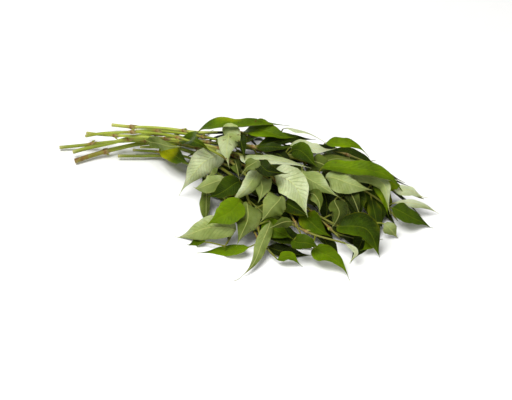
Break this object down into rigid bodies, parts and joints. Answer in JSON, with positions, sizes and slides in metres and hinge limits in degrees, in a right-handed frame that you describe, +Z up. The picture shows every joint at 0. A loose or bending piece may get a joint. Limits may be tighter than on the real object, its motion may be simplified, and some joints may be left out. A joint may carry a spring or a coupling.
{
  "type": "vietnamese coriander",
  "caption": "Loose bunch of cut Vietnamese coriander that lies on a flat surface, with jointed stems at one end and long pointed leaves fanning out at the other.",
  "frame": {"origin": "centre of the bunch's box on the surface that it lies on", "axes": "+X from the cut ends towards the leaf tips, +Y to the back, +Z up from the surface"},
  "size_m": [0.3044, 0.194, 0.0508],
  "materials": {
    "leaf": "satin leaf: deep green and slightly glossy above, pale sage and matt beneath, with a pale yellow-green midrib",
    "stem": "smooth yellow-green stem with fine lengthwise lines, pink-brown at the nodes",
    "sheath": "thin dry papery brown sheath at each node"
  },
  "bodies": {
    "root": {"leafy_stem_01": "leaf", "leafy_stem_02": "leaf", "leafy_stem_03": "leaf", "leafy_stem_04": "leaf", "leafy_stem_05": "leaf", "leafy_stem_06": "leaf", "leafy_stem_07": "leaf", "leafy_stem_08": "leaf", "leafy_stem_09": "leaf", "leafy_stem_10": "leaf", "leafy_stem_11": "leaf", "leafy_stem_12": "leaf"}
  },
  "joints": []
}
